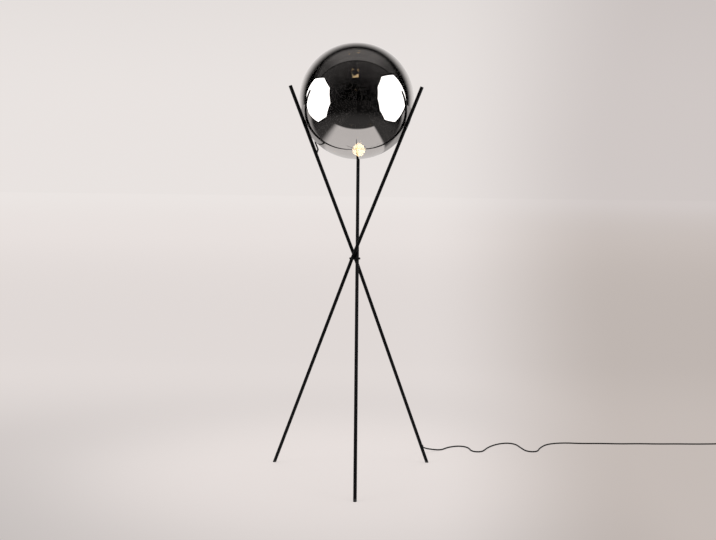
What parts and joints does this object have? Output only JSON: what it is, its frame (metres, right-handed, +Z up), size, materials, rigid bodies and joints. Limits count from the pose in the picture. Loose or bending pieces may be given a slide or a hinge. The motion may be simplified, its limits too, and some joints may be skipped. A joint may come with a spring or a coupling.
{
  "type": "globe floor lamp",
  "caption": "Floor lamp: a large smoked mirror-glass globe with a glowing bulb inside, cradled by crossing slim black tube legs, with a mains cord, foot switch and plug.",
  "frame": {"origin": "on the floor, under the point where the three legs cross: the lamp's own axis", "axes": "+Z up, -Y towards the leg that stands in front, +X to the right seen from there"},
  "size_m": [1.998, 0.8437, 1.5252],
  "materials": {
    "black_metal": "matt",
    "black_fixings": "satin",
    "smoked_mirror": "mirrored",
    "bulb_glass": "clear",
    "bulb_mount": "clear",
    "filament": "matt",
    "screw_base": "satin",
    "steel": "satin",
    "brass": "satin",
    "ceramic": "gloss",
    "black_plastic": "matt",
    "black_gloss": "gloss",
    "black_rubber": "matt",
    "clear_sleeve": "gloss",
    "cord": "satin"
  },
  "bodies": {
    "lamp": {"bolt_washer": "black_fixings", "bulb_base": "screw_base", "bulb_filaments": "filament", "bulb_glass": "bulb_glass", "bulb_mount": "bulb_mount", "coil_tie": "black_plastic", "cord_strain_relief": "black_rubber", "fitter_cap": "black_metal", "fitter_crossbar": "steel", "fitter_gasket": "black_rubber", "fitter_lock_nut": "steel", "fitter_nipple": "steel", "foot_tip_a": "black_rubber", "foot_tip_b": "black_rubber", "foot_tip_c": "black_rubber", "glass_globe": "smoked_mirror", "globe_bolt": "black_fixings", "globe_pad_a": "clear_sleeve", "globe_pad_b": "clear_sleeve", "globe_standoff": "black_metal", "holder_core": "ceramic", "holder_cup": "black_plastic", "holder_sleeve": "black_plastic", "holder_socket": "brass", "hub_disc": "black_metal", "hub_grub_screws": "black_fixings", "lamp_lead": "cord", "lamp_stem": "black_metal", "lead_grommet": "black_rubber", "leg_a_joiner": "black_metal", "leg_a_lower_tube": "black_metal", "leg_a_upper_tube": "black_metal", "leg_b_joiner": "black_metal", "leg_b_lower_tube": "black_metal", "leg_b_upper_tube": "black_metal", "leg_c_joiner": "black_metal", "leg_c_lower_tube": "black_metal", "leg_c_upper_tube": "black_metal", "leg_saddle": "black_metal", "mains_cord_coil": "cord", "mains_cord_link": "cord", "mains_cord_run": "cord", "mains_cord_tail": "cord", "plug_body": "black_plastic", "plug_pins": "screw_base", "plug_relief": "black_rubber", "rocker_pin": "steel", "standoff_grommet": "black_rubber", "switch_base": "black_plastic", "switch_cover": "black_plastic", "switch_relief_in": "black_rubber", "switch_relief_out": "black_rubber", "switch_screws": "steel", "switch_terminals": "brass", "top_plug_a": "black_metal", "top_plug_b": "black_metal", "top_plug_c": "black_metal"},
    "rocker": {"switch_rocker": "black_gloss"}
  },
  "joints": [
    {"name": "rocker_tilt", "type": "hinge", "parent": "lamp", "child": "rocker", "pos_m": [1.592, 0.491, 0.017], "axis": [0, -1, 0], "range_deg": [0, 14]}
  ]
}
